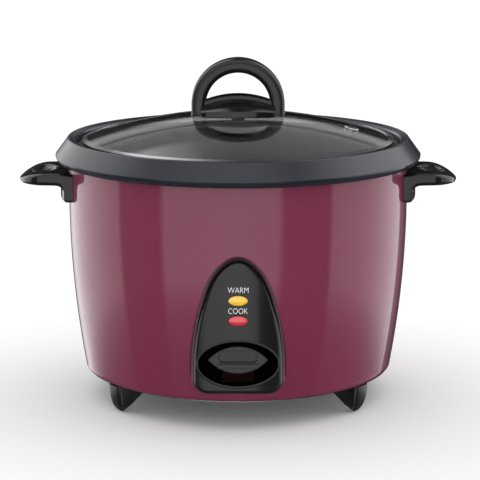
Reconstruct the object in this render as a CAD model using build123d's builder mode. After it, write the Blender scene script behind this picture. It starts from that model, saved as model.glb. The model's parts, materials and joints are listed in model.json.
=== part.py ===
from build123d import *
import os
from math import cos, pi, radians, sin, sqrt

# Drum rice cooker with a glass lid, a cook lever and two pilot lamps.
# Frame: origin on the floor under the drum's axis, +Z up, front panel towards -Y, grips on +X and -X.
# Sizes are in millimetres.

os.makedirs("parts", exist_ok=True)

# ---------------------------------------------------------------- driving dimensions
# Clearances and fits
slip = 0.15             # between pieces that are assembled by hand and stay still
air = 0.3               # between pieces on different moving bodies
running = 0.05          # radial clearance of a pin or a rod in its hole
screw_clear = 0.25      # radial clearance of a screw in a through hole

# Inner pot
pot_r = 101.0           # outer radius of the pot's wall
pot_wall = 1.5
pot_floor = 1.8
pot_corner = 18.0       # outer radius of the bottom corner
pot_rim_w = 14.5        # width of the flange that carries the lid
rim_t = 1.2

# Heights of the main levels
foot_h = 17.8           # from the floor to the underside of the base plate
base_t = 1.2
liner_floor_h = 33.0    # from the top of the base plate to the underside of the liner
stand_h = 2.9           # spacers between the liner's floor and the heating plate
plate_t = 10.0          # heating plate
pot_h = 116.0           # from the pot's underside to the top of its flange

# Liner, drum and collar
pot_gap = 2.2           # radial gap between pot and liner
liner_t = 0.8
insulation_gap = 17.6   # radial gap between the liner and the widest part of the drum
shell_t = 1.0
drum_taper = 10.7       # how much narrower the drum is at its foot than at its top
drum_belly = 2.9        # how much narrower the drum is half-way up
drum_shoulder = 0.9     # how much narrower the drum is at its top edge, inside the collar
drum_edge_r = 5.0       # rounding at the drum's lower edge
collar_out = 9.4        # how far the collar overhangs the drum
collar_under = 5.0      # rounding under the collar's widest edge
collar_slope_h = 12.6   # height of the collar's sloping face
collar_slope_w = 9.2    # width of the collar's sloping face
collar_wall = 2.4
collar_skirt = 4.9      # how far the collar hangs below its widest edge

# Heating plate and thermostat
plate_r = 88.0
plate_hole_r = 16.5
cup_gap = 1.0           # radial gap between the sensor cup and the plate
cup_wall = 1.0
cup_h = 14.0
cup_flange = 2.5
sensor_travel = 1.5     # how far the pot can press the sensor down
can_gap = 1.0
can_t = 0.8
element_r = 60.0
element_tube_r = 3.5
magnet_t = 5.0
ferrite_t = 4.9
rod_r = 2.5
collar_disc_t = 1.5
spring_wire_r = 0.7

# Lever
lever_pivot_y = 45.0    # distance of the pivot in front of the drum's axis
lever_pivot_h = 21.0    # height of the pivot above the base plate
lever_angle = 6.5       # degrees from WARM to COOK
lever_w = 14.0
lever_t = 1.6
lever_rise = 2.7        # underside of the lever's middle above the pivot
lever_drop = 9.0        # middle of the lever's inner end below the pivot
pin_r = 2.0
fork_gap = 0.8          # above and below the fork, between the rod's two discs
switch_y = 25.0         # plunger in front of the pivot
plunger_r = 2.0
plunger_gap = 0.4

# Control panel
panel_w = 61.4
panel_h = 92.4
panel_bottom = 26.8     # above the floor
panel_inset = 4.6       # flat front of the panel behind the widest part of the drum
panel_t = 2.2
panel_round = 2.8       # rounding of the panel's front edge
recess_side = 1.8       # gap between panel and recess at the sides
recess_top = 4.1        # gap above the panel
well_w = 54.6
well_h = 31.6
well_z = 48.0
paddle_w = 41.7
paddle_h = 19.6
paddle_z = 50.4
paddle_t = 5.0
lens_w = 13.1
lens_h = 6.9
warm_z = 92.2
cook_z = 78.2

# Lid
lid_glass_r = 111.2
lid_glass_t = 3.0
lid_sphere_r = 343.7
knob_r = 33.4           # outer radius of the loop
knob_bar = 10.5         # radial width of the loop's bar
knob_depth = 16.0
knob_rise = 6.4         # centre of the loop above the top of the glass
boss_w = 52.4
boss_d = 48.0
boss_wall = 3.8         # boss wall's top above the top of the glass
vent_x = 80.8
vent_y = -13.0

# Grips
grip_reach = 35.4       # how far a grip stands out of the drum
grip_w = 67.0
grip_t = 8.3
grip_drop = 11.2        # top of the grip below the collar's widest edge
grip_leg_h = 20.1       # height of the pad on the drum
grip_leg_t = 6.0

# Feet
foot_ring_r = 101.4     # radius on which the feet touch the floor
foot_angle = 53.6       # of the front feet, from straight ahead
foot_w = 14.0

# Power inlet
inlet_w = 28.0
inlet_h = 20.0
inlet_flange_w = 50.0
inlet_z = 38.0

# ---------------------------------------------------------------- derived sizes and levels
base_top = foot_h + base_t
drum_bottom = base_top
liner_z = base_top + liner_floor_h
plate_under = liner_z + liner_t + stand_h
plate_top = plate_under + plate_t
pot_z = plate_top + air
rim_top = pot_z + pot_h
liner_rim_top = rim_top - rim_t - air
ledge_z = liner_rim_top - liner_t

liner_in = pot_r + pot_gap
liner_out = liner_in + liner_t
drum_r = liner_out + insulation_gap
drum_low_r = drum_r - drum_taper
rim_r = pot_r + pot_rim_w
collar_in = rim_r + 0.7
collar_z = ledge_z - 4.2
collar_r = drum_r + collar_out
collar_top_r = collar_r - collar_slope_w
collar_top_z = collar_z + collar_slope_h
drum_top = collar_z + 4.5
drum_mid_z = (drum_bottom + drum_top) / 2 - 17.5

lid_edge_z = rim_top + 0.6
glass_sag = lid_sphere_r - sqrt(lid_sphere_r ** 2 - lid_glass_r ** 2)
glass_top = lid_edge_z + lid_glass_t + glass_sag
sphere_z = glass_top - lid_sphere_r

panel_y = drum_r - panel_inset
pocket_y = liner_out + 4.0
panel_depth = panel_y - pocket_y


def dome_z(r):
    """Height of the glass's outer surface at a radius."""
    return sphere_z + sqrt(lid_sphere_r ** 2 - r ** 2)


def polar_xy(radius, angle):
    """Point at an angle measured from straight ahead (-Y) towards +X."""
    return radius * sin(radians(angle)), -radius * cos(radians(angle))


def front_plane(y):
    """Vertical plane that faces forward at y, with x to the right and z up."""
    return Plane(origin=(0, y, 0), x_dir=(1, 0, 0), z_dir=(0, -1, 0))


def rear_plane(y):
    """Vertical plane that faces backward at y; its x runs towards -X."""
    return Plane(origin=(0, y, 0), x_dir=(-1, 0, 0), z_dir=(0, 1, 0))


# ---------------------------------------------------------------- drum
def drum_profile(inset):
    """Half section of the drum, closed to its axis, moved inwards by inset."""
    edge = max(drum_edge_r - inset, 0.5)
    low = (drum_low_r - inset, drum_bottom + inset + edge)
    mid = (drum_r - drum_belly - inset, drum_mid_z)
    top = (drum_r - drum_shoulder - inset, drum_top)
    corner = (low[0] - edge * (1 - cos(pi / 4)), low[1] - edge * sin(pi / 4))
    foot = (low[0] - edge, drum_bottom + inset)
    with BuildSketch() as profile:
        with BuildLine():
            ThreePointArc(foot, corner, low)
            ThreePointArc(low, mid, top)
            Polyline(top, (0, drum_top), (0, drum_bottom + inset), foot)
        make_face()
    return profile.sketch


def panel_outline(half_w, low, high, corner):
    """Tall rounded arch, wide and square at its foot."""
    tall = high - low
    shape = ((0.977, 0.346), (0.866, 0.571), (0.736, 0.722), (0.544, 0.870))
    right = [(half_w, low + corner)]
    right += [(half_w * u, low + tall * v) for u, v in shape]
    left = [(-x, z) for x, z in reversed(right)]
    with BuildSketch() as outline:
        with BuildLine():
            Spline(*right, (0, high), *left, tangents=((0, 1), (0, -1)))
            RadiusArc((-half_w, low + corner), (-half_w + corner, low), -corner)
            Line((-half_w + corner, low), (half_w - corner, low))
            RadiusArc((half_w - corner, low), (half_w, low + corner), -corner)
        make_face()
    return outline.sketch


panel_top = panel_bottom + panel_h
panel_corner = 10.0
recess_low = panel_bottom - 0.6
outside = drum_r + 20

# Solid drum with the panel's pocket cut into its front: what sits on the drum is trimmed by it.
with BuildPart() as drum_blank:
    with BuildSketch(Plane.XZ):
        add(drum_profile(0))
    revolve(axis=Axis.Z)
    with BuildSketch(front_plane(-pocket_y)):
        add(panel_outline(panel_w / 2 + recess_side, recess_low, panel_top + recess_top, panel_corner))
    extrude(amount=outside - pocket_y, mode=Mode.SUBTRACT)

with BuildPart() as drum_cavity:
    with BuildSketch(Plane.XZ):
        add(drum_profile(shell_t))
    revolve(axis=Axis.Z)
    with BuildSketch(front_plane(-pocket_y + shell_t)):
        add(panel_outline(panel_w / 2 + recess_side + shell_t, recess_low - shell_t,
                      panel_top + recess_top + shell_t, panel_corner + shell_t))
    extrude(amount=outside - pocket_y, mode=Mode.SUBTRACT)

shell_flange_r = drum_low_r - 17.0
base_r = drum_low_r - 8.0
grip_screw_y = 20.0
grip_top = collar_z - grip_drop
grip_mid = grip_top - grip_t / 2
inlet_screw_x = inlet_flange_w / 2 - 5.0
base_screw_ring = (shell_flange_r + base_r) / 2
base_screws_at = [polar_xy(base_screw_ring, angle) for angle in (70, 110, 250, 290)]
panel_screws_at = ((-22.0, panel_bottom + 5.7), (22.0, panel_bottom + 5.7), (0.0, panel_top - 11.0))
panel_screw_r = 1.5
paddle_slot = (22.0, 20.0)
neck_z = lever_pivot_h + base_top + lever_rise + 4.1
wire_hole_x = 14.0
wire_hole_z = well_z + well_h / 2 + 8.0

with BuildPart() as outer_shell:
    add(drum_blank.part)
    add(drum_cavity.part, mode=Mode.SUBTRACT)
    with BuildSketch(Plane.XY.offset(drum_bottom - 1)):
        Circle(shell_flange_r)
    extrude(amount=drum_edge_r, mode=Mode.SUBTRACT)
    # opening behind the lever well, wire hole and screw holes in the pocket's floor
    with BuildSketch(front_plane(-pocket_y + 2 * shell_t)):
        with Locations((0, neck_z - paddle_slot[1] / 4)):
            Rectangle(*paddle_slot)
        with Locations((wire_hole_x, wire_hole_z)):
            Circle(2.2)
        for spot in panel_screws_at:
            with Locations(spot):
                Circle(panel_screw_r + screw_clear)
    extrude(amount=4 * shell_t, mode=Mode.SUBTRACT)
    # holes for the grip screws, on both sides
    with BuildSketch(Plane.YZ.offset(-outside)):
        with Locations((grip_screw_y, grip_mid), (-grip_screw_y, grip_mid)):
            Circle(2.0 + screw_clear)
    extrude(amount=2 * outside, mode=Mode.SUBTRACT)
    # rear opening for the power inlet
    with BuildSketch(rear_plane(drum_low_r - 20)):
        with Locations((0, inlet_z)):
            Rectangle(inlet_w + 2 * slip, inlet_h + 2 * slip)
        with Locations((inlet_screw_x, inlet_z), (-inlet_screw_x, inlet_z)):
            Circle(1.5 + screw_clear)
    extrude(amount=40, mode=Mode.SUBTRACT)
    # base screws
    with BuildSketch(Plane.XY.offset(drum_bottom - 1)):
        with Locations(*base_screws_at):
            Circle(1.5 + screw_clear)
    extrude(amount=4, mode=Mode.SUBTRACT)
outer_shell.part.label = "outer_shell"
export_step(outer_shell.part, "parts/outer_shell.step")

# ---------------------------------------------------------------- collar
skirt_z = collar_z - collar_skirt
skirt_r = drum_r + slip
with BuildPart() as collar_ring:
    with BuildSketch(Plane.XZ):
        with BuildLine():
            low = (collar_r - collar_under, skirt_z)
            wide = (collar_r, collar_z)
            bend = (collar_r - collar_under * (1 - cos(pi / 4)), collar_z - collar_skirt * sin(pi / 4))
            Line((skirt_r, skirt_z), low)
            ThreePointArc(low, bend, wide)
            Polyline(wide, (collar_top_r, collar_top_z), (collar_in + 0.8, collar_top_z - 1.4),
                     (collar_in, collar_top_z - 3.0), (collar_in, ledge_z), (liner_out + slip, ledge_z),
                     (liner_out + slip, ledge_z - collar_wall), (collar_in + 1.0, ledge_z - collar_wall),
                     (collar_in + 1.0, skirt_z + 0.5), (collar_in + 1.0 + collar_wall, skirt_z + 0.5),
                     (collar_in + 1.0 + collar_wall, drum_top), (collar_r - collar_wall - 3.4, drum_top),
                     (collar_r - collar_wall, collar_z),
                     (collar_r - collar_wall - 1.2, skirt_z + collar_wall),
                     (skirt_r, skirt_z + collar_wall), (skirt_r, skirt_z))
        make_face()
    revolve(axis=Axis.Z)
    crest = [e for e in collar_ring.edges().filter_by(GeomType.CIRCLE)
             if abs(e.radius - collar_top_r) < 0.01 and abs(e.center().Z - collar_top_z) < 0.01]
    fillet(crest, radius=1.4)
collar_ring.part.label = "collar_ring"
export_step(collar_ring.part, "parts/collar_ring.step")

# ---------------------------------------------------------------- inner liner
liner_hole_r = plate_hole_r + 17.5
spacer_ring = plate_r - 14.0
bracket_top = liner_z
rivet_x = 13.5
with BuildPart() as inner_liner:
    with BuildSketch(Plane.XZ):
        with BuildLine():
            bend_in = 4.0
            bend_out = bend_in + liner_t
            Line((liner_hole_r, liner_z), (liner_out - bend_out, liner_z))
            RadiusArc((liner_out - bend_out, liner_z), (liner_out, liner_z + bend_out), -bend_out)
            Polyline((liner_out, liner_z + bend_out), (liner_out, ledge_z),
                     (collar_in - 3.5, ledge_z), (collar_in - 3.5, liner_rim_top), (liner_in, liner_rim_top),
                     (liner_in, liner_z + bend_out))
            RadiusArc((liner_in, liner_z + bend_out), (liner_in - bend_in, liner_z + liner_t), bend_in)
            Polyline((liner_in - bend_in, liner_z + liner_t), (liner_hole_r, liner_z + liner_t),
                     (liner_hole_r, liner_z))
        make_face()
    revolve(axis=Axis.Z)
    with BuildSketch(Plane.XY.offset(liner_z - 1)):
        with PolarLocations(spacer_ring, 3, start_angle=30):
            Circle(2.0 + screw_clear)
        with PolarLocations(element_r, 2, start_angle=65, angular_range=50, endpoint=True):
            Circle(5.0)
        with Locations((rivet_x, -lever_pivot_y - 2), (-rivet_x, -lever_pivot_y - 2)):
            Circle(1.5)
    extrude(amount=3, mode=Mode.SUBTRACT)
inner_liner.part.label = "inner_liner"
export_step(inner_liner.part, "parts/inner_liner.step")

# ---------------------------------------------------------------- base plate and feet
vent_rings = ((34.0, 8), (52.0, 12), (70.0, 16))
foot_angles = {"foot_front_right": foot_angle, "foot_rear_right": 180 - foot_angle,
               "foot_rear_left": 180 + foot_angle, "foot_front_left": -foot_angle}
foot_in_r = foot_ring_r - 25.4
foot_out_r = foot_ring_r + 6.6
foot_screw_ring = foot_ring_r - 15.0
with BuildPart() as base_plate:
    with BuildSketch(Plane.XY.offset(foot_h)):
        Circle(base_r)
        for ring, count in vent_rings:
            with PolarLocations(ring, count):
                SlotOverall(11, 3.5, rotation=90, mode=Mode.SUBTRACT)
        with Locations(*base_screws_at):
            Circle(1.5 + screw_clear, mode=Mode.SUBTRACT)
        for angle in foot_angles.values():
            with Locations(polar_xy(foot_screw_ring, angle)):
                Circle(2.0 + screw_clear, mode=Mode.SUBTRACT)
    extrude(amount=base_t)
base_plate.part.label = "base_plate"
export_step(base_plate.part, "parts/base_plate.step")

for name, angle in foot_angles.items():
    out_x, out_y = polar_xy(1, angle)
    radial = Plane(origin=(0, 0, 0), x_dir=(out_x, out_y, 0), z_dir=(out_y, -out_x, 0))
    with BuildPart() as foot:
        with BuildSketch(radial):
            with BuildLine():
                Polyline((foot_in_r, foot_h), (foot_out_r, foot_h), (foot_out_r, foot_h * 0.68))
                ThreePointArc((foot_out_r, foot_h * 0.68), (foot_ring_r + 4.5, foot_h * 0.24),
                              (foot_ring_r + 0.6, 0))
                Line((foot_ring_r + 0.6, 0), (foot_ring_r - 2.2, 0))
                ThreePointArc((foot_ring_r - 2.2, 0), (foot_ring_r - 4.2, 0.55), (foot_ring_r - 5.9, 1.9))
                Line((foot_ring_r - 5.9, 1.9), (foot_in_r, foot_h))
            make_face()
        extrude(amount=foot_w / 2, both=True)
        # rounded outer wall
        with BuildSketch(Plane(origin=(0, 0, 0), x_dir=(out_x, out_y, 0), z_dir=(0, 0, 1))):
            with Locations((foot_out_r - 30, 0)):
                RectangleRounded(60, foot_w, foot_w / 2 - 0.3)
        extrude(amount=foot_h, mode=Mode.INTERSECT)
        # screw boss, hollow on both flanks behind the outer wall
        for side in (1, -1):
            flank = Plane(origin=(-side * out_y * foot_w / 2, side * out_x * foot_w / 2, 0),
                          x_dir=(out_x, out_y, 0), z_dir=(-side * out_y, side * out_x, 0))
            up = 1 if side < 0 else -1
            with BuildSketch(flank):
                with BuildLine():
                    Polyline((foot_ring_r - 1.0, up * (foot_h - 2.0)), (foot_ring_r - 1.0, up * 6.0),
                             (foot_ring_r - 3.5, up * 5.0), (foot_screw_ring - 4.5, up * (foot_h - 2.0)),
                             (foot_ring_r - 1.0, up * (foot_h - 2.0)))
                make_face()
            extrude(amount=-2.2, mode=Mode.SUBTRACT)
        with BuildSketch(Plane.XY.offset(foot_h)):
            with Locations(polar_xy(foot_screw_ring, angle)):
                Circle(2.0)
        extrude(amount=-6.5, mode=Mode.SUBTRACT)
    foot.part.label = name
    export_step(foot.part, f"parts/{name}.step")

with BuildPart() as foot_screws:
    with BuildSketch(Plane.XY.offset(base_top)):
        for angle in foot_angles.values():
            with Locations(polar_xy(foot_screw_ring, angle)):
                Circle(3.8)
    extrude(amount=2.0)
    with BuildSketch(Plane.XY.offset(base_top)):
        for angle in foot_angles.values():
            with Locations(polar_xy(foot_screw_ring, angle)):
                Circle(2.0)
    extrude(amount=-7.0)
foot_screws.part.label = "foot_screws"
export_step(foot_screws.part, "parts/foot_screws.step")

with BuildPart() as base_screws:
    with BuildSketch(Plane.XY.offset(foot_h)):
        with Locations(*base_screws_at):
            Circle(3.0)
    extrude(amount=-1.8)
    with BuildSketch(Plane.XY.offset(foot_h)):
        with Locations(*base_screws_at):
            Circle(1.5)
    extrude(amount=6.0)
base_screws.part.label = "base_screws"
export_step(base_screws.part, "parts/base_screws.step")

# ---------------------------------------------------------------- side grips
grip_tip = drum_r + grip_reach
grip_under = grip_top - grip_t
grip_foot = grip_top - grip_leg_h
for name, side in (("right_handle", 1), ("left_handle", -1)):
    with BuildPart() as handle:
        # plan of the arm: flat flanks that close slightly, then a blunt rounded end
        with BuildSketch(Plane.XY.offset(grip_under - 2)):
            with BuildLine():
                root = (side * (drum_r - 12), grip_w / 2)
                flank = (side * (grip_tip - 20), grip_w / 2 - 2.5)
                Line(root, flank)
                EllipticalCenterArc((flank[0], 0), grip_tip - abs(flank[0]), flank[1],
                                    start_angle=-90 * side, arc_size=180)
                Polyline((flank[0], -flank[1]), (root[0], -root[1]), root)
            make_face()
        extrude(amount=grip_t + 4)
        # side view of the arm: level, then drooping to a rounded tip
        with BuildSketch(Plane.XZ.offset(-grip_w)):
            with BuildLine():
                Line((side * (drum_r - 14), grip_top), (side * (drum_r + 16), grip_top))
                Spline((side * (drum_r + 16), grip_top), (side * (grip_tip - 5), grip_top - 3.4),
                       (side * grip_tip, grip_top - 6.6), (side * (grip_tip - 3.4), grip_under),
                       tangents=((side, 0), (-side, 0)))
                Polyline((side * (grip_tip - 3.4), grip_under), (side * (drum_r - 14), grip_under),
                         (side * (drum_r - 14), grip_top))
            make_face()
        extrude(amount=2 * grip_w, mode=Mode.INTERSECT)
        # pad that hugs the drum
        with BuildSketch(Plane.XY.offset(grip_foot)):
            Circle(drum_r + grip_leg_t)
            Circle(drum_r - 12, mode=Mode.SUBTRACT)
            with Locations((side * drum_r, 0)):
                Rectangle(60, grip_w, mode=Mode.INTERSECT)
        extrude(amount=grip_leg_h - 2.0)
        add(drum_blank.part, mode=Mode.SUBTRACT)
        # oval thumb dimple
        dimple = scale(Sphere(10, mode=Mode.PRIVATE), by=(0.93, 1.7, 0.62), mode=Mode.PRIVATE)
        dimple = dimple.moved(Location((side * (drum_r + 18.3), 0, grip_top + 3.2)))
        add(dimple, mode=Mode.SUBTRACT)
        # blind holes for the screws
        with BuildSketch(Plane.YZ):
            with Locations((grip_screw_y, grip_mid), (-grip_screw_y, grip_mid)):
                Circle(2.0)
        extrude(amount=side * (drum_r + 9.0), mode=Mode.SUBTRACT)
    handle.part.label = name
    export_step(handle.part, f"parts/{name}.step")

grip_screw_in = sqrt((drum_r - drum_taper * 0.1) ** 2 - grip_screw_y ** 2) - shell_t - 1.0
with BuildPart() as handle_screws:
    for side in (1, -1):
        for y in (grip_screw_y, -grip_screw_y):
            spot = Plane(origin=(side * grip_screw_in, y, grip_mid), z_dir=(side, 0, 0))
            with BuildSketch(spot):
                Circle(3.8)
            extrude(amount=-2.4)
            with BuildSketch(spot):
                Circle(2.0)
            extrude(amount=10.5)
handle_screws.part.label = "handle_screws"
export_step(handle_screws.part, "parts/handle_screws.step")

# ---------------------------------------------------------------- control panel
boss_r = 3.2
lens_lip = 1.0
neck_w = 18.0
neck_h = 7.0
slot_low = neck_z - neck_h / 2 - 10.0
slot_high = neck_z + neck_h / 2 + 1.0
well_floor_y = pocket_y + 0.6
with BuildPart() as control_panel:
    with BuildSketch(front_plane(-(pocket_y - 4))):
        add(panel_outline(panel_w / 2, panel_bottom, panel_top, panel_corner))
    extrude(amount=panel_depth + 4)
    fillet(control_panel.faces().sort_by(Axis.Y)[0].edges(), radius=panel_round)
    # hollow back
    with BuildSketch(front_plane(-(pocket_y - 4))):
        add(panel_outline(panel_w / 2 - panel_t, panel_bottom + panel_t, panel_top - panel_t,
                          panel_corner - panel_t))
    extrude(amount=panel_depth + 4 - panel_t, mode=Mode.SUBTRACT)
    # well tube and its floor
    with BuildSketch(front_plane(-pocket_y)):
        with Locations((0, well_z)):
            Ellipse(well_w / 2 + 1.2, well_h / 2 + 1.2)
    extrude(amount=panel_depth - panel_round)
    with BuildSketch(front_plane(-(well_floor_y + 1.2))):
        with Locations((0, well_z)):
            Ellipse(well_w / 2, well_h / 2)
    extrude(amount=panel_depth, mode=Mode.SUBTRACT)
    with BuildSketch(front_plane(-(pocket_y - 2))):
        with Locations((0, (slot_low + slot_high) / 2)):
            Rectangle(neck_w + 4, slot_high - slot_low)
    extrude(amount=6, mode=Mode.SUBTRACT)
    # screw bosses
    with BuildSketch(front_plane(-pocket_y)):
        for spot in panel_screws_at:
            with Locations(spot):
                Circle(boss_r)
    extrude(amount=panel_depth - 1)
    with BuildSketch(front_plane(-pocket_y)):
        for spot in panel_screws_at:
            with Locations(spot):
                Circle(panel_screw_r)
    extrude(amount=panel_depth - 3, mode=Mode.SUBTRACT)
    # lens windows
    with BuildSketch(front_plane(-pocket_y)):
        with Locations((0, warm_z), (0, cook_z)):
            Ellipse(lens_w / 2 + slip, lens_h / 2 + slip)
    extrude(amount=panel_depth + 1, mode=Mode.SUBTRACT)
    add(drum_blank.part, mode=Mode.SUBTRACT)
control_panel.part.label = "control_panel"
export_step(control_panel.part, "parts/control_panel.step")

with BuildPart() as panel_screws:
    for x, z in panel_screws_at:
        with BuildSketch(front_plane(-(pocket_y - shell_t))):
            with Locations((x, z)):
                Circle(2.7)
        extrude(amount=-1.4)
        with BuildSketch(front_plane(-(pocket_y - shell_t))):
            with Locations((x, z)):
                Circle(panel_screw_r)
        extrude(amount=shell_t + 5.0)
panel_screws.part.label = "panel_screws"
export_step(panel_screws.part, "parts/panel_screws.step")

lens_back = panel_y - panel_t - lens_lip
lens_bulge = 1.4
for name, z in (("warm_lens", warm_z), ("cook_lens", cook_z)):
    with BuildPart() as lens:
        with BuildSketch(front_plane(-lens_back)):
            with Locations((0, z)):
                Ellipse(lens_w / 2 + lens_lip, lens_h / 2 + lens_lip)
        extrude(amount=lens_lip - 0.05)
        with BuildSketch(front_plane(-lens_back)):
            with Locations((0, z)):
                Ellipse(lens_w / 2, lens_h / 2)
        extrude(amount=lens_lip + panel_t + 0.3)
        dome = scale(Sphere(1, mode=Mode.PRIVATE), by=(lens_w / 2, lens_bulge, lens_h / 2), mode=Mode.PRIVATE)
        add(dome.moved(Location((0, -(panel_y + 0.3), z))))
    lens.part.label = name
    export_step(lens.part, f"parts/{name}.step")

lamp_r = 1.6
lamp_y = lens_back - lamp_r - 0.4
for name, z in (("warm_lamp", warm_z), ("cook_lamp", cook_z)):
    with BuildPart() as lamp:
        with BuildSketch(Plane(origin=(-5.5, -lamp_y, z), z_dir=(1, 0, 0))):
            Circle(lamp_r)
        extrude(amount=9)
        with BuildSketch(Plane(origin=(3.5, -lamp_y, z), z_dir=(1, 0, 0))):
            with Locations((0, 0.8), (0, -0.8)):
                Circle(0.3)
        extrude(amount=4)
        fillet(lamp.faces().sort_by(Axis.X)[0].edges(), radius=1.2)
    lamp.part.label = name
    export_step(lamp.part, f"parts/{name}.step")

with BuildPart() as lamp_holder:
    with BuildSketch(front_plane(-pocket_y)):
        with Locations((0, (warm_z + cook_z) / 2)):
            RectangleRounded(17, warm_z - cook_z + 9, 2)
    extrude(amount=lamp_y - pocket_y + 0.4)
    for z in (warm_z, cook_z):
        with BuildSketch(Plane(origin=(-20, -lamp_y, z), z_dir=(1, 0, 0))):
            Circle(lamp_r + slip)
        extrude(amount=40, mode=Mode.SUBTRACT)
lamp_holder.part.label = "lamp_holder"
export_step(lamp_holder.part, "parts/lamp_holder.step")

# ---------------------------------------------------------------- heating plate and element
element_z = plate_under + 1.8
element_gap_angle = 50.0
element_angles = (90 - element_gap_angle / 2, 90 + element_gap_angle / 2)
with BuildPart() as heating_plate:
    with BuildSketch(Plane.XY.offset(plate_under)):
        Circle(plate_r)
        Circle(plate_hole_r, mode=Mode.SUBTRACT)
    extrude(amount=plate_t)
    fillet(heating_plate.edges().filter_by(GeomType.CIRCLE).group_by(Axis.Z)[-1].sort_by(SortBy.RADIUS)[-1],
           radius=3.0)
    with BuildSketch(Plane.XZ):
        with Locations((element_r, element_z)):
            Circle(element_tube_r + slip)
        with Locations((element_r, plate_under)):
            Rectangle(2 * (element_tube_r + slip), 2 * (element_z - plate_under))
    revolve(axis=Axis.Z, mode=Mode.SUBTRACT)
    with BuildSketch(Plane.XY.offset(plate_under)):
        with PolarLocations(spacer_ring, 3, start_angle=30):
            Circle(2.0)
    extrude(amount=6, mode=Mode.SUBTRACT)
heating_plate.part.label = "heating_plate"
export_step(heating_plate.part, "parts/heating_plate.step")

with BuildPart() as heating_element:
    end_angle = radians(element_angles[1])
    start = Plane(origin=(0, 0, 0), x_dir=(cos(end_angle), sin(end_angle), 0),
                  z_dir=(-sin(end_angle), cos(end_angle), 0))
    with BuildSketch(start):
        with Locations((element_r, -element_z)):
            Circle(element_tube_r)
    revolve(axis=Axis.Z, revolution_arc=360 - element_gap_angle)
    with BuildSketch(Plane.XY.offset(element_z)):
        for angle in element_angles:
            with Locations((element_r * cos(radians(angle)), element_r * sin(radians(angle)))):
                Circle(element_tube_r - 0.5)
    extrude(amount=-(element_z - liner_z + 6))
heating_element.part.label = "heating_element"
export_step(heating_element.part, "parts/heating_element.step")

with BuildPart() as plate_spacers:
    with BuildSketch(Plane.XY.offset(liner_z + liner_t)):
        with PolarLocations(spacer_ring, 3, start_angle=30):
            Circle(5.0)
            Circle(2.0 + screw_clear, mode=Mode.SUBTRACT)
    extrude(amount=stand_h)
plate_spacers.part.label = "plate_spacers"
export_step(plate_spacers.part, "parts/plate_spacers.step")

with BuildPart() as plate_screws:
    with BuildSketch(Plane.XY.offset(liner_z)):
        with PolarLocations(spacer_ring, 3, start_angle=30):
            Circle(3.8)
    extrude(amount=-2.2)
    with BuildSketch(Plane.XY.offset(liner_z)):
        with PolarLocations(spacer_ring, 3, start_angle=30):
            Circle(2.0)
    extrude(amount=liner_t + stand_h + 5)
plate_screws.part.label = "plate_screws"
export_step(plate_screws.part, "parts/plate_screws.step")

# ---------------------------------------------------------------- magnetic thermostat
cup_r = plate_hole_r - cup_gap
cup_bottom = plate_top - cup_h
cup_flange_r = cup_r + cup_flange
can_in = cup_flange_r + can_gap
can_out = can_in + can_t
lever_swing = radians(lever_angle)
rod_travel = lever_pivot_y * lever_swing
ferrite_bottom = plate_top - cup_wall - ferrite_t
magnet_top = ferrite_bottom - sensor_travel - rod_travel - 2 * air
magnet_r = cup_r - cup_wall - 2.0
can_bottom = magnet_top - magnet_t - 6.5
spring_top = cup_bottom
with BuildPart() as sensor_cup:
    with BuildSketch(Plane.XZ):
        with BuildLine():
            Polyline((0, plate_top), (cup_r, plate_top), (cup_r, cup_bottom + 1),
                     (cup_flange_r, cup_bottom + 1),
                     (cup_flange_r, cup_bottom), (cup_r - cup_wall, cup_bottom),
                     (cup_r - cup_wall, plate_top - cup_wall), (0, plate_top - cup_wall), (0, plate_top))
        make_face()
    revolve(axis=Axis.Z)
    fillet(sensor_cup.edges().filter_by(GeomType.CIRCLE).group_by(Axis.Z)[-1], radius=0.8)
sensor_cup.part.label = "sensor_cup"
export_step(sensor_cup.part, "parts/sensor_cup.step")

with BuildPart() as sensor_ferrite:
    with BuildSketch(Plane.XY.offset(ferrite_bottom)):
        Circle(cup_r - cup_wall - slip)
        Circle(3.0, mode=Mode.SUBTRACT)
    extrude(amount=ferrite_t)
sensor_ferrite.part.label = "sensor_ferrite"
export_step(sensor_ferrite.part, "parts/sensor_ferrite.step")

with BuildPart() as sensor_can:
    with BuildSketch(Plane.XZ):
        with BuildLine():
            Polyline((rod_r + running, can_bottom), (can_out, can_bottom), (can_out, plate_under - 1.0),
                     (can_out + 5, plate_under - 1.0), (can_out + 5, plate_under), (can_in, plate_under),
                     (can_in, can_bottom + can_t), (rod_r + running, can_bottom + can_t),
                     (rod_r + running, can_bottom))
        make_face()
    revolve(axis=Axis.Z)
sensor_can.part.label = "sensor_can"
export_step(sensor_can.part, "parts/sensor_can.step")


def coil(centre, low, high, radius, wire_r, turns):
    """Helical spring with its axis along Z, between two levels."""
    rise = high - low - 2 * wire_r
    with BuildPart() as spring:
        with BuildLine():
            path = Helix(pitch=rise / turns, height=rise, radius=radius, center=(*centre, low + wire_r))
        with BuildSketch(Plane(origin=path @ 0, z_dir=path % 0)):
            Circle(wire_r)
        sweep(path=path, is_frenet=True)
    return spring.part


with BuildPart() as sensor_spring:
    add(coil((0, 0), can_bottom + can_t + 0.1, spring_top - 0.1, magnet_r + 3.3, spring_wire_r, 3))
sensor_spring.part.label = "sensor_spring"
export_step(sensor_spring.part, "parts/sensor_spring.step")

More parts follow.
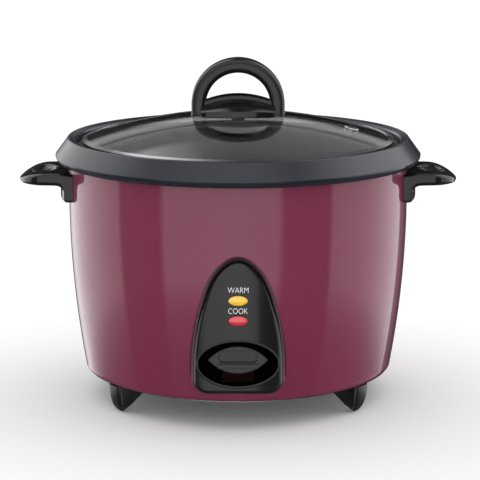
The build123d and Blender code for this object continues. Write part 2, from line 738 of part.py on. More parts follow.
pivot_z = base_top + lever_pivot_h
fork_z = pivot_z - lever_drop
disc_r = 5.0
with BuildPart() as magnet_rod:
    with BuildSketch(Plane.XY.offset(fork_z - lever_t / 2 - fork_gap - collar_disc_t - 2)):
        Circle(rod_r)
    extrude(amount=magnet_top - magnet_t - (fork_z - lever_t / 2 - fork_gap - collar_disc_t - 2))
    for low in (fork_z - lever_t / 2 - fork_gap - collar_disc_t, fork_z + lever_t / 2 + fork_gap):
        with BuildSketch(Plane.XY.offset(low)):
            Circle(disc_r)
        extrude(amount=collar_disc_t)
magnet_rod.part.label = "magnet_rod"
export_step(magnet_rod.part, "parts/magnet_rod.step")

with BuildPart() as lower_magnet:
    with BuildSketch(Plane.XY.offset(magnet_top - magnet_t)):
        Circle(magnet_r)
    extrude(amount=magnet_t)
    fillet(lower_magnet.edges().filter_by(GeomType.CIRCLE), radius=0.6)
lower_magnet.part.label = "lower_magnet"
export_step(lower_magnet.part, "parts/lower_magnet.step")

# ---------------------------------------------------------------- cook lever
arm_front = pocket_y - 1.0
strip_mid = pivot_z + lever_rise + lever_t / 2
strip_front = neck_z
ear_t = 1.6
fork_back = rod_r + 1.8     # the fork swings towards the rod as the lever goes down
lever_spine = [(-arm_front, strip_front), (-(switch_y + lever_pivot_y + 17), strip_front),
                (-(switch_y + lever_pivot_y + 6), strip_mid), (-lever_pivot_y + 7, strip_mid),
                (-lever_pivot_y + 20, fork_z), (disc_r, fork_z)]
with BuildPart() as lever_arm:
    with BuildSketch(Plane.YZ):
        with BuildLine() as spine:
            Polyline(*lever_spine)
        trace(spine.line, line_width=lever_t)
    extrude(amount=lever_w / 2, both=True)
    # ears that carry the pin
    for x in (lever_w / 2 - ear_t, -lever_w / 2):
        with BuildSketch(Plane.YZ.offset(x)):
            with Locations((-lever_pivot_y, pivot_z)):
                Circle(pin_r + 2.2)
            with Locations((-lever_pivot_y, (pivot_z + strip_mid) / 2)):
                Rectangle(2 * (pin_r + 2.2), strip_mid - pivot_z)
        extrude(amount=ear_t)
    with BuildSketch(Plane.YZ.offset(-lever_w)):
        with Locations((-lever_pivot_y, pivot_z)):
            Circle(pin_r + running)
    extrude(amount=2 * lever_w, mode=Mode.SUBTRACT)
    # fork round the magnet rod
    with BuildSketch(Plane.XY.offset(fork_z - 4)):
        with Locations((0, (disc_r + 2.0 - fork_back) / 2)):
            Rectangle(2 * rod_r + 1.0, disc_r + 2.0 + fork_back)
    extrude(amount=8, mode=Mode.SUBTRACT)
lever_arm.part.label = "lever_arm"
export_step(lever_arm.part, "parts/lever_arm.step")

ledge_z_paddle = paddle_z - 4.1
scoop_z = paddle_z + 2.4
paddle_back = well_floor_y + 1.2 + 0.9
paddle_face = paddle_back + paddle_t
with BuildPart() as lever_paddle:
    with BuildSketch(front_plane(-paddle_back)):
        with BuildLine():
            left = (-paddle_w / 2, paddle_z)
            right = (paddle_w / 2, paddle_z)
            ThreePointArc(left, (0, paddle_z + paddle_h / 2), right)
            ThreePointArc(right, (0, paddle_z - paddle_h / 2), left)
        make_face()
    extrude(amount=paddle_t)
    fillet(lever_paddle.faces().sort_by(Axis.Y)[0].edges(), radius=1.0)
    with BuildSketch(front_plane(-(paddle_face - 2.6))):
        with Locations((0, scoop_z)):
            RectangleRounded(26.4, 8.7, 3.2)
    extrude(amount=4, mode=Mode.SUBTRACT)
    with BuildSketch(front_plane(-(paddle_face - 1))):
        with Locations((0, ledge_z_paddle)):
            RectangleRounded(27.8, 3.0, 1.2)
    extrude(amount=2.6)
    # neck that clips onto the lever arm
    with BuildSketch(front_plane(-(pocket_y - 8))):
        with Locations((0, neck_z)):
            Rectangle(neck_w, neck_h)
    extrude(amount=paddle_back - pocket_y + 8.5)
    with BuildSketch(front_plane(-(pocket_y - 9))):
        with Locations((0, neck_z)):
            Rectangle(lever_w + 2 * running, lever_t + 2 * running)
    extrude(amount=arm_front - pocket_y + 9 + running, mode=Mode.SUBTRACT)
lever_paddle.part.label = "lever_paddle"
export_step(lever_paddle.part, "parts/lever_paddle.step")

ear_x = lever_w / 2 + 1.0
bracket_t = 1.2
with BuildPart() as lever_bracket:
    with BuildSketch(Plane.XY.offset(bracket_top - bracket_t)):
        with Locations((0, -lever_pivot_y - 2)):
            Rectangle(2 * rivet_x + 9, 18)
        with Locations((rivet_x, -lever_pivot_y - 2), (-rivet_x, -lever_pivot_y - 2)):
            Circle(1.5, mode=Mode.SUBTRACT)
    extrude(amount=bracket_t)
    for x in (ear_x, -ear_x - bracket_t):
        with BuildSketch(Plane.YZ.offset(x)):
            with Locations((-lever_pivot_y, (pivot_z + bracket_top) / 2)):
                Rectangle(12, bracket_top - pivot_z)
            with Locations((-lever_pivot_y, pivot_z)):
                Circle(6)
            with Locations((-lever_pivot_y, pivot_z)):
                Circle(pin_r, mode=Mode.SUBTRACT)
        extrude(amount=bracket_t)
lever_bracket.part.label = "lever_bracket"
export_step(lever_bracket.part, "parts/lever_bracket.step")

with BuildPart() as lever_pin:
    with BuildSketch(Plane.YZ.offset(-ear_x - bracket_t - 1)):
        with Locations((-lever_pivot_y, pivot_z)):
            Circle(pin_r)
    extrude(amount=2 * (ear_x + bracket_t + 1))
    with BuildSketch(Plane.YZ.offset(ear_x + bracket_t)):
        with Locations((-lever_pivot_y, pivot_z)):
            Circle(pin_r + 1.2)
    extrude(amount=1.2)
lever_pin.part.label = "lever_pin"
export_step(lever_pin.part, "parts/lever_pin.step")

with BuildPart() as bracket_rivets:
    for low, high, radius in ((liner_z - bracket_t, liner_z + liner_t, 1.5),
                              (liner_z - bracket_t - 1.0, liner_z - bracket_t, 2.8),
                              (liner_z + liner_t, liner_z + liner_t + 0.9, 2.6)):
        with BuildSketch(Plane.XY.offset(low)):
            with Locations((rivet_x, -lever_pivot_y - 2), (-rivet_x, -lever_pivot_y - 2)):
                Circle(radius)
        extrude(amount=high - low)
bracket_rivets.part.label = "bracket_rivets"
export_step(bracket_rivets.part, "parts/bracket_rivets.step")

lever_spring_y = -(can_out - 3.0)
with BuildPart() as lever_spring:
    add(coil((0, lever_spring_y), base_top + 0.1, fork_z - lever_t / 2 - 0.1, 3.2, 0.45, 6))
lever_spring.part.label = "lever_spring"
export_step(lever_spring.part, "parts/lever_spring.step")

# ---------------------------------------------------------------- switch
plunger_y = -(lever_pivot_y + switch_y)
plunger_top = pivot_z + lever_rise - plunger_gap
plunger_travel = switch_y * lever_swing
switch_top = plunger_top - plunger_travel - 3.5
switch_h = 14.0
with BuildPart() as switch_body:
    with BuildSketch(Plane.XY.offset(switch_top - switch_h)):
        with Locations((0, plunger_y)):
            RectangleRounded(24, 12, 1)
    extrude(amount=switch_h)
    with BuildSketch(Plane.XY.offset(switch_top)):
        with Locations((0, plunger_y)):
            Circle(plunger_r + running)
    extrude(amount=-(switch_h - 3), mode=Mode.SUBTRACT)
    with BuildSketch(Plane.YZ.offset(12)):
        with Locations((plunger_y - 3, switch_top - 6), (plunger_y + 3, switch_top - 6)):
            Rectangle(0.8, 4.8)
    extrude(amount=6)
switch_body.part.label = "switch_body"
export_step(switch_body.part, "parts/switch_body.step")

with BuildPart() as switch_plunger:
    with BuildSketch(Plane.XY.offset(plunger_top)):
        with Locations((0, plunger_y)):
            Circle(plunger_r)
    extrude(amount=-(plunger_travel + 3.5 + 3.0))
    fillet(switch_plunger.faces().sort_by(Axis.Z)[-1].edges(), radius=0.7)
switch_plunger.part.label = "switch_plunger"
export_step(switch_plunger.part, "parts/switch_plunger.step")

with BuildPart() as switch_bracket:
    with BuildSketch(Plane.XY.offset(base_top)):
        with Locations((0, plunger_y)):
            Rectangle(30, 14)
    extrude(amount=1.0)
    with BuildSketch(Plane.XY.offset(base_top)):
        with Locations((-13.5, plunger_y), (13.5, plunger_y)):
            Rectangle(1.2, 12)
    extrude(amount=switch_top - switch_h - base_top)
    with BuildSketch(Plane.XY.offset(switch_top - switch_h - 1.0)):
        with Locations((0, plunger_y)):
            Rectangle(28.2, 12)
    extrude(amount=1.0)
switch_bracket.part.label = "switch_bracket"
export_step(switch_bracket.part, "parts/switch_bracket.step")

# ---------------------------------------------------------------- power inlet and wiring
inlet_face = drum_low_r + 8.4
inlet_depth = 27.0
with BuildPart() as power_inlet:
    with BuildSketch(rear_plane(drum_low_r - 16)):
        with Locations((0, inlet_z)):
            RectangleRounded(inlet_flange_w, inlet_h + 6, 4)
    extrude(amount=inlet_face - drum_low_r + 16)
    add(drum_blank.part, mode=Mode.SUBTRACT)
    fillet(power_inlet.faces().sort_by(Axis.Y)[-1].edges(), radius=1.0)
    with BuildSketch(rear_plane(inlet_face - inlet_depth)):
        with Locations((0, inlet_z)):
            RectangleRounded(inlet_w, inlet_h, 2)
    extrude(amount=inlet_depth - 1)
    with BuildSketch(rear_plane(inlet_face - inlet_depth + 3)):
        with Locations((0, inlet_z)):
            RectangleRounded(inlet_w - 4, inlet_h - 4, 3)
    extrude(amount=inlet_depth, mode=Mode.SUBTRACT)
    with BuildSketch(rear_plane(drum_low_r - 20)):
        with Locations((inlet_screw_x, inlet_z), (-inlet_screw_x, inlet_z)):
            Circle(1.5 + screw_clear)
        with Locations((-7, inlet_z), (7, inlet_z), (0, inlet_z + 3)):
            Rectangle(2.2, 4.2)
    extrude(amount=60, mode=Mode.SUBTRACT)
power_inlet.part.label = "power_inlet"
export_step(power_inlet.part, "parts/power_inlet.step")

with BuildPart() as inlet_pins:
    with BuildSketch(rear_plane(inlet_face - inlet_depth - 6)):
        with Locations((-7, inlet_z), (7, inlet_z), (0, inlet_z + 3)):
            Rectangle(2.0, 4.0)
    extrude(amount=26)
inlet_pins.part.label = "inlet_pins"
export_step(inlet_pins.part, "parts/inlet_pins.step")

with BuildPart() as inlet_screws:
    for x in (inlet_screw_x, -inlet_screw_x):
        with BuildSketch(rear_plane(inlet_face)):
            with Locations((x, inlet_z)):
                Circle(2.8)
        extrude(amount=1.4)
        with BuildSketch(rear_plane(inlet_face)):
            with Locations((x, inlet_z)):
                Circle(1.5)
        extrude(amount=-14)
inlet_screws.part.label = "inlet_screws"
export_step(inlet_screws.part, "parts/inlet_screws.step")

block_y = 56.0
block_h = 15.0
block_poles = (-10.0, 0.0, 10.0)
with BuildPart() as terminal_block:
    with BuildSketch(Plane.XY.offset(base_top)):
        with Locations((0, block_y)):
            RectangleRounded(32, 16, 1.5)
    extrude(amount=block_h)
    with BuildSketch(Plane.XY.offset(base_top + block_h)):
        for x in block_poles:
            with Locations((x, block_y)):
                Circle(2.4)
    extrude(amount=-8, mode=Mode.SUBTRACT)
terminal_block.part.label = "terminal_block"
export_step(terminal_block.part, "parts/terminal_block.step")

with BuildPart() as terminal_screws:
    with BuildSketch(Plane.XY.offset(base_top + block_h - 8)):
        for x in block_poles:
            with Locations((x, block_y)):
                Circle(2.4 - slip)
    extrude(amount=6.5)
terminal_screws.part.label = "terminal_screws"
export_step(terminal_screws.part, "parts/terminal_screws.step")

fuse_x = 46.0
fuse_y = 30.0
with BuildPart() as thermal_fuse:
    with BuildSketch(Plane.YZ.offset(fuse_x)):
        with Locations((fuse_y, liner_z - 3.0)):
            Circle(2.6)
    extrude(amount=14)
    with BuildSketch(Plane.YZ.offset(fuse_x - 6)):
        with Locations((fuse_y, liner_z - 3.0)):
            Circle(0.6)
    extrude(amount=26)
    with BuildSketch(Plane.XY.offset(liner_z)):
        with Locations((fuse_x + 7, fuse_y)):
            Rectangle(5, 8)
    extrude(amount=-5.8)
thermal_fuse.part.label = "thermal_fuse"
export_step(thermal_fuse.part, "parts/thermal_fuse.step")

with BuildPart() as keep_warm_resistor:
    with BuildSketch(Plane.XY.offset(liner_z)):
        with Locations((-55, 20)):
            RectangleRounded(9, 34, 1)
    extrude(amount=-8)
keep_warm_resistor.part.label = "keep_warm_resistor"
export_step(keep_warm_resistor.part, "parts/keep_warm_resistor.step")

wire_r = 1.0
pin_back = inlet_face - inlet_depth - 6
pole_z = base_top + 5.0
block_back = block_y + 8
block_front = block_y - 8
element_end = [(element_r * cos(radians(a)), element_r * sin(radians(a))) for a in element_angles]
element_foot = liner_z - 6
wires = {
    "wire_live": ([(-7, pin_back, inlet_z), (-7, pin_back - 6, inlet_z), (-11, block_back + 7, pole_z + 6),
                   (-10, block_back + 5, pole_z), (-10, block_back, pole_z)], 1.5),
    "wire_neutral": ([(7, pin_back, inlet_z), (7, pin_back - 6, inlet_z), (11, block_back + 7, pole_z + 6),
                      (10, block_back + 5, pole_z), (10, block_back, pole_z)], 1.5),
    "wire_element": ([(element_end[1][0], element_end[1][1], element_foot),
                      (element_end[1][0], element_end[1][1], element_foot - 9), (-30, 40, pole_z + 2),
                      (-10, 40, pole_z), (-10, block_front, pole_z)], 3.0),
    "wire_switch": ([(10, block_front, pole_z), (10, 38, pole_z), (36, 20, pole_z), (36, -40, pole_z),
                     (28, plunger_y - 3, switch_top - 6), (18, plunger_y - 3, switch_top - 6)], 4.0),
}
lamp_wire_y = liner_out + 1.4
wires["wire_lamps"] = ([(0, block_front, pole_z - 2), (0, 44, pole_z - 2), (26, 26, pole_z - 2),
                        (26, -60, pole_z - 2), (wire_hole_x, -lamp_wire_y + 4, liner_z - 12),
                        (wire_hole_x, -lamp_wire_y, liner_z - 2),
                        (wire_hole_x, -lamp_wire_y, wire_hole_z - 8)], 3.0)
for name, (route, radius) in wires.items():
    with BuildPart() as wire:
        with BuildLine() as run:
            FilletPolyline(*route, radius=radius)
        with BuildSketch(Plane(origin=run.line @ 0, z_dir=run.line % 0)):
            Circle(wire_r)
        sweep()
    wire.part.label = name
    export_step(wire.part, f"parts/{name}.step")

# ---------------------------------------------------------------- inner pot
with BuildPart() as inner_pot:
    with BuildSketch(Plane.XZ):
        with BuildLine():
            inner_r = pot_r - pot_wall
            inner_corner = pot_corner - pot_wall
            floor_z = pot_z + pot_floor
            Line((0, pot_z), (pot_r - pot_corner, pot_z))
            RadiusArc((pot_r - pot_corner, pot_z), (pot_r, pot_z + pot_corner), -pot_corner)
            Polyline((pot_r, pot_z + pot_corner), (pot_r, rim_top - rim_t), (rim_r, rim_top - rim_t),
                     (rim_r, rim_top), (inner_r, rim_top), (inner_r, floor_z + inner_corner))
            RadiusArc((inner_r, floor_z + inner_corner), (inner_r - inner_corner, floor_z), inner_corner)
            Polyline((inner_r - inner_corner, floor_z), (0, floor_z), (0, pot_z))
        make_face()
    revolve(axis=Axis.Z)
    fillet([e for e in inner_pot.edges().filter_by(GeomType.CIRCLE)
            if abs(e.center().Z - rim_top) < 0.01 and e.radius < rim_r - 1], radius=1.2)
inner_pot.part.label = "inner_pot"
export_step(inner_pot.part, "parts/inner_pot.step")

# ---------------------------------------------------------------- lid
band_t = 0.6
vent_r = 3.2
knob_screw_r = 2.0
vent_radius = sqrt(vent_x ** 2 + vent_y ** 2)
vent_normal = Vector(vent_x, vent_y, sqrt(lid_sphere_r ** 2 - vent_radius ** 2)).normalized()
vent_spot = Vector(vent_x, vent_y, dome_z(vent_radius))
vent_plane = Plane(origin=vent_spot, z_dir=vent_normal)
with BuildPart() as lid_glass:
    with BuildSketch(Plane.XZ):
        with BuildLine():
            inner_sphere = lid_sphere_r - lid_glass_t
            under_edge = sphere_z + sqrt(inner_sphere ** 2 - lid_glass_r ** 2)
            half = lid_glass_r / 2
            ThreePointArc((0, glass_top), (half, dome_z(half)), (lid_glass_r, dome_z(lid_glass_r)))
            Line((lid_glass_r, dome_z(lid_glass_r)), (lid_glass_r, under_edge))
            ThreePointArc((lid_glass_r, under_edge), (half, sphere_z + sqrt(inner_sphere ** 2 - half ** 2)),
                          (0, glass_top - lid_glass_t))
            Line((0, glass_top - lid_glass_t), (0, glass_top))
        make_face()
    revolve(axis=Axis.Z)
    with BuildSketch(Plane.XY.offset(glass_top + 5)):
        Circle(knob_screw_r + screw_clear)
    extrude(amount=-20, mode=Mode.SUBTRACT)
    with BuildSketch(vent_plane.offset(5)):
        Circle(vent_r + slip)
    extrude(amount=-15, mode=Mode.SUBTRACT)
lid_glass.part.label = "lid_glass"
export_step(lid_glass.part, "parts/lid_glass.step")

band_low = rim_top + air
with BuildPart() as lid_rim_band:
    with BuildSketch(Plane.XZ):
        with BuildLine():
            edge_high = dome_z(lid_glass_r)
            lip = 3.0
            lip_high = dome_z(lid_glass_r - lip)
            Polyline((lid_glass_r - lip, band_low), (lid_glass_r + band_t, band_low),
                     (lid_glass_r + band_t, edge_high + band_t * 0.6),
                     (lid_glass_r - 0.2, edge_high + band_t),
                     (lid_glass_r - lip, lip_high + band_t), (lid_glass_r - lip, lip_high + 0.05),
                     (lid_glass_r + 0.05, edge_high + 0.05), (lid_glass_r + 0.05, under_edge - 0.05),
                     (lid_glass_r - lip, under_edge - 0.05), (lid_glass_r - lip, band_low))
        make_face()
    revolve(axis=Axis.Z)
lid_rim_band.part.label = "lid_rim_band"
export_step(lid_rim_band.part, "parts/lid_rim_band.step")

with BuildPart() as steam_vent:
    with BuildSketch(vent_plane.offset(0.1)):
        Circle(5.2)
    extrude(amount=1.2)
    with BuildSketch(vent_plane.offset(0.1)):
        Circle(vent_r)
    extrude(amount=-(lid_glass_t + 0.2))
    with BuildSketch(vent_plane.offset(-lid_glass_t - 0.1)):
        Circle(4.8)
    extrude(amount=-1.0)
    fillet(steam_vent.faces().sort_by(Axis.Z)[-1].edges(), radius=0.5)
    with BuildSketch(vent_plane.offset(5)):
        Circle(1.9)
    extrude(amount=-15, mode=Mode.SUBTRACT)
steam_vent.part.label = "steam_vent"
export_step(steam_vent.part, "parts/steam_vent.step")

loop_z = glass_top + knob_rise
bar_in = knob_r - knob_bar
web_top = loop_z + 6.9
web_low = glass_top + boss_wall
with BuildPart() as glass_ball:
    Sphere(lid_sphere_r + 0.1)
glass_ball_at = glass_ball.part.moved(Location((0, 0, sphere_z)))


def loop_section():
    """Section of the loop's bar: flat front and back with a thin groove, rounded inside and outside."""
    half = knob_depth / 2
    groove = knob_r - 3.2
    groove_w = 0.4
    with BuildSketch() as section:
        with BuildLine():
            Line((bar_in, 0), (bar_in, half - 4.0))
            ThreePointArc((bar_in, half - 4.0), (bar_in + 1.2, half - 1.1), (bar_in + 4.0, half))
            Polyline((bar_in + 4.0, half), (groove - groove_w, half), (groove - groove_w, half - 0.5),
                     (groove, half - 0.5), (groove, half - 0.1))
            ThreePointArc((groove, half - 0.1), (knob_r - 0.9, half - 1.6), (knob_r, half - 4.6))
            Line((knob_r, half - 4.6), (knob_r, 0))
            mirror(about=Plane.XZ)
        make_face()
    return section.sketch


with BuildPart() as lid_knob:
    with BuildSketch(Plane.XY.offset(loop_z)):
        add(loop_section())
    revolve(axis=Axis((0, 0, loop_z), (0, 1, 0)), revolution_arc=-180)
    with BuildSketch(Plane.XY.offset(loop_z)):
        add(loop_section())
        mirror(about=Plane.YZ)
    extrude(amount=-(knob_rise + 6))
    # web between the legs, crowned like the boss below it
    with BuildSketch(Plane.XZ.offset(-knob_depth / 2)):
        with BuildLine():
            Polyline((-bar_in - 1, web_top - 4.6), (-bar_in - 1, web_low), (bar_in + 1, web_low),
                     (bar_in + 1, web_top - 4.6))
            ThreePointArc((bar_in + 1, web_top - 4.6), (0, web_top), (-bar_in - 1, web_top - 4.6))
        make_face()
    extrude(amount=knob_depth)
    add(glass_ball_at, mode=Mode.SUBTRACT)
    with BuildSketch(Plane.XY.offset(web_low)):
        Circle(knob_screw_r)
    extrude(amount=9.0, mode=Mode.SUBTRACT)
lid_knob.part.label = "lid_knob"
export_step(lid_knob.part, "parts/lid_knob.step")

crown_long_r = 68.0
crown_short_r = 39.6
crown_top = loop_z + 5.4
with BuildPart() as knob_base:
    with BuildSketch(Plane.YZ):
        with Locations((0, crown_top - crown_short_r)):
            Circle(crown_short_r)
        with Locations((0, crown_top - crown_short_r - 20)):
            Rectangle(100, 2 * crown_short_r, mode=Mode.SUBTRACT)
    revolve(axis=Axis((0, 0, crown_top - crown_long_r), (0, 1, 0)))
    with BuildSketch(Plane.XY.offset(glass_top - 6)):
        with BuildLine():
            side_y = boss_d / 2 - 7
            ThreePointArc((-boss_w / 2, -side_y), (0, -boss_d / 2), (boss_w / 2, -side_y))
            Line((boss_w / 2, -side_y), (boss_w / 2, side_y))
            ThreePointArc((boss_w / 2, side_y), (0, boss_d / 2), (-boss_w / 2, side_y))
            Line((-boss_w / 2, side_y), (-boss_w / 2, -side_y))
        make_face()
    extrude(amount=30, mode=Mode.INTERSECT)
    add(glass_ball_at, mode=Mode.SUBTRACT)
    # channel for the loop's web, notches for its legs, and the screw's hole
    with BuildSketch(Plane.XY.offset(web_low - slip)):
        Rectangle(2 * knob_r, knob_depth + 2 * slip)
    extrude(amount=20, mode=Mode.SUBTRACT)
    with BuildSketch(Plane.XY.offset(glass_top - 8)):
        with Locations((knob_r + slip, 0), (-knob_r - slip, 0)):
            Rectangle(2 * (knob_bar + 2 * slip), knob_depth + 2 * slip)
        Circle(knob_screw_r + screw_clear)
    extrude(amount=30, mode=Mode.SUBTRACT)
knob_base.part.label = "knob_base"
export_step(knob_base.part, "parts/knob_base.step")

washer_t = 1.0
washer_r = 9.0
washer_top = sphere_z + sqrt(inner_sphere ** 2 - washer_r ** 2) - 0.02
with BuildPart() as knob_washer:
    with BuildSketch(Plane.XY.offset(washer_top)):
        Circle(washer_r)
        Circle(knob_screw_r + screw_clear, mode=Mode.SUBTRACT)
    extrude(amount=-washer_t)
knob_washer.part.label = "knob_washer"
export_step(knob_washer.part, "parts/knob_washer.step")

with BuildPart() as knob_screw:
    with BuildSketch(Plane.XY.offset(washer_top - washer_t)):
        Circle(5.0)
    extrude(amount=-2.6)
    fillet(knob_screw.faces().sort_by(Axis.Z)[0].edges(), radius=1.2)
    with BuildSketch(Plane.XY.offset(washer_top - washer_t)):
        Circle(knob_screw_r)
    extrude(amount=web_low + 8.0 - washer_top + washer_t)
knob_screw.part.label = "knob_screw"
export_step(knob_screw.part, "parts/knob_screw.step")
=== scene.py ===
import json
from math import cos, pi, radians, sin, sqrt

import bmesh
import bpy
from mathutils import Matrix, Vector


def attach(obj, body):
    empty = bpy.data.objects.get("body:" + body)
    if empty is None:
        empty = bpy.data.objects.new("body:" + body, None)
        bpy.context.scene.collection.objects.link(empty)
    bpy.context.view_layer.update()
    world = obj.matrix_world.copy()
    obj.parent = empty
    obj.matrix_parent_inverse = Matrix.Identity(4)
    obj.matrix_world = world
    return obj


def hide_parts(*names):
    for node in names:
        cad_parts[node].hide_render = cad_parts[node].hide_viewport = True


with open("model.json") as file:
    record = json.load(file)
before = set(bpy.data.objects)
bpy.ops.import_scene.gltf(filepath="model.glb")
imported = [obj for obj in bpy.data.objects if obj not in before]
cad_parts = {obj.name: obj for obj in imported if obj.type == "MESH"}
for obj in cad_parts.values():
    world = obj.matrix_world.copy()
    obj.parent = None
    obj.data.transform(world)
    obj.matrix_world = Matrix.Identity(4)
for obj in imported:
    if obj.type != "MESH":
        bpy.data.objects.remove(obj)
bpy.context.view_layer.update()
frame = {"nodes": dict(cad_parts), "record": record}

# Drum rice cooker. Units are metres, in the CAD frame: +Z up, front panel towards -Y.
MM = 0.001
PANEL_Y = -117.0 * MM       # flat front of the control panel
WELL_W = 54.6 * MM
WELL_H = 31.6 * MM
WELL_Z = 48.0 * MM
LABEL_CAP = 3.8 * MM
CROWN_R = 54.0 * MM         # how strongly the panel's front is crowned

scene = bpy.context.scene
scene.view_settings.view_transform = "Standard"


# ---------------------------------------------------------------- node helpers
def new_tree(name):
    """A new material with an output and a Principled shader, and its node tree."""
    mat = bpy.data.materials.new(name)
    mat.use_nodes = True
    tree = mat.node_tree
    tree.nodes.clear()
    out = tree.nodes.new("ShaderNodeOutputMaterial")
    shader = tree.nodes.new("ShaderNodeBsdfPrincipled")
    tree.links.new(shader.outputs["BSDF"], out.inputs["Surface"])
    return mat, tree, shader


def noise(tree, scale, detail=3.0, roughness=0.5, stretch=(1, 1, 1)):
    """A noise texture in object space. scale is in features per metre, and stretch squeezes it by axis."""
    coords = tree.nodes.new("ShaderNodeTexCoord")
    mapping = tree.nodes.new("ShaderNodeMapping")
    mapping.inputs["Scale"].default_value = stretch
    tex = tree.nodes.new("ShaderNodeTexNoise")
    tex.inputs["Scale"].default_value = scale
    tex.inputs["Detail"].default_value = detail
    tex.inputs["Roughness"].default_value = roughness
    tree.links.new(coords.outputs["Object"], mapping.inputs["Vector"])
    tree.links.new(mapping.outputs["Vector"], tex.inputs["Vector"])
    return tex


def spread(tree, source, low, high):
    """Maps a 0..1 texture value onto low..high."""
    node = tree.nodes.new("ShaderNodeMapRange")
    node.inputs["From Min"].default_value = 0.3
    node.inputs["From Max"].default_value = 0.7
    node.inputs["To Min"].default_value = low
    node.inputs["To Max"].default_value = high
    tree.links.new(source, node.inputs["Value"])
    return node.outputs["Result"]


def blend_colour(tree, factor, first, second):
    node = tree.nodes.new("ShaderNodeMix")
    node.data_type = "RGBA"
    node.inputs["A"].default_value = (*first, 1)
    node.inputs["B"].default_value = (*second, 1)
    tree.links.new(factor, node.inputs["Factor"])
    return node.outputs["Result"]


def add_bump(tree, shader, height, depth, edge):
    """Fine relief, and edges that catch the light as if rounded to the radius edge."""
    bump = tree.nodes.new("ShaderNodeBump")
    bump.inputs["Strength"].default_value = 1.0
    bump.inputs["Distance"].default_value = depth
    tree.links.new(height, bump.inputs["Height"])
    if edge:
        soft = tree.nodes.new("ShaderNodeBevel")
        soft.samples = 6
        soft.inputs["Radius"].default_value = edge
        tree.links.new(soft.outputs["Normal"], bump.inputs["Normal"])
    tree.links.new(bump.outputs["Normal"], shader.inputs["Normal"])
    if shader.inputs["Coat Weight"].default_value:
        tree.links.new(bump.outputs["Normal"], shader.inputs["Coat Normal"])
    return bump


def surface(name, first, second, rough, tone_scale=30, rough_scale=120, grain_scale=900, grain=2e-5,
            metallic=0.0, stretch=(1, 1, 1), edge=0.0, **sockets):
    """A material whose tone, roughness and fine relief all vary: rough is its (lowest, highest) roughness."""
    mat, tree, shader = new_tree(name)
    tone = spread(tree, noise(tree, tone_scale).outputs["Fac"], 0, 1)
    tree.links.new(blend_colour(tree, tone, first, second), shader.inputs["Base Color"])
    haze = noise(tree, rough_scale, stretch=stretch).outputs["Fac"]
    tree.links.new(spread(tree, haze, *rough), shader.inputs["Roughness"])
    shader.inputs["Metallic"].default_value = metallic
    for socket, value in sockets.items():
        shader.inputs[socket.replace("_", " ")].default_value = value
    relief = noise(tree, grain_scale, detail=2.0, stretch=stretch).outputs["Fac"]
    add_bump(tree, shader, relief, grain, edge)
    return mat


def shade(colour, factor):
    return tuple(c * factor for c in colour)


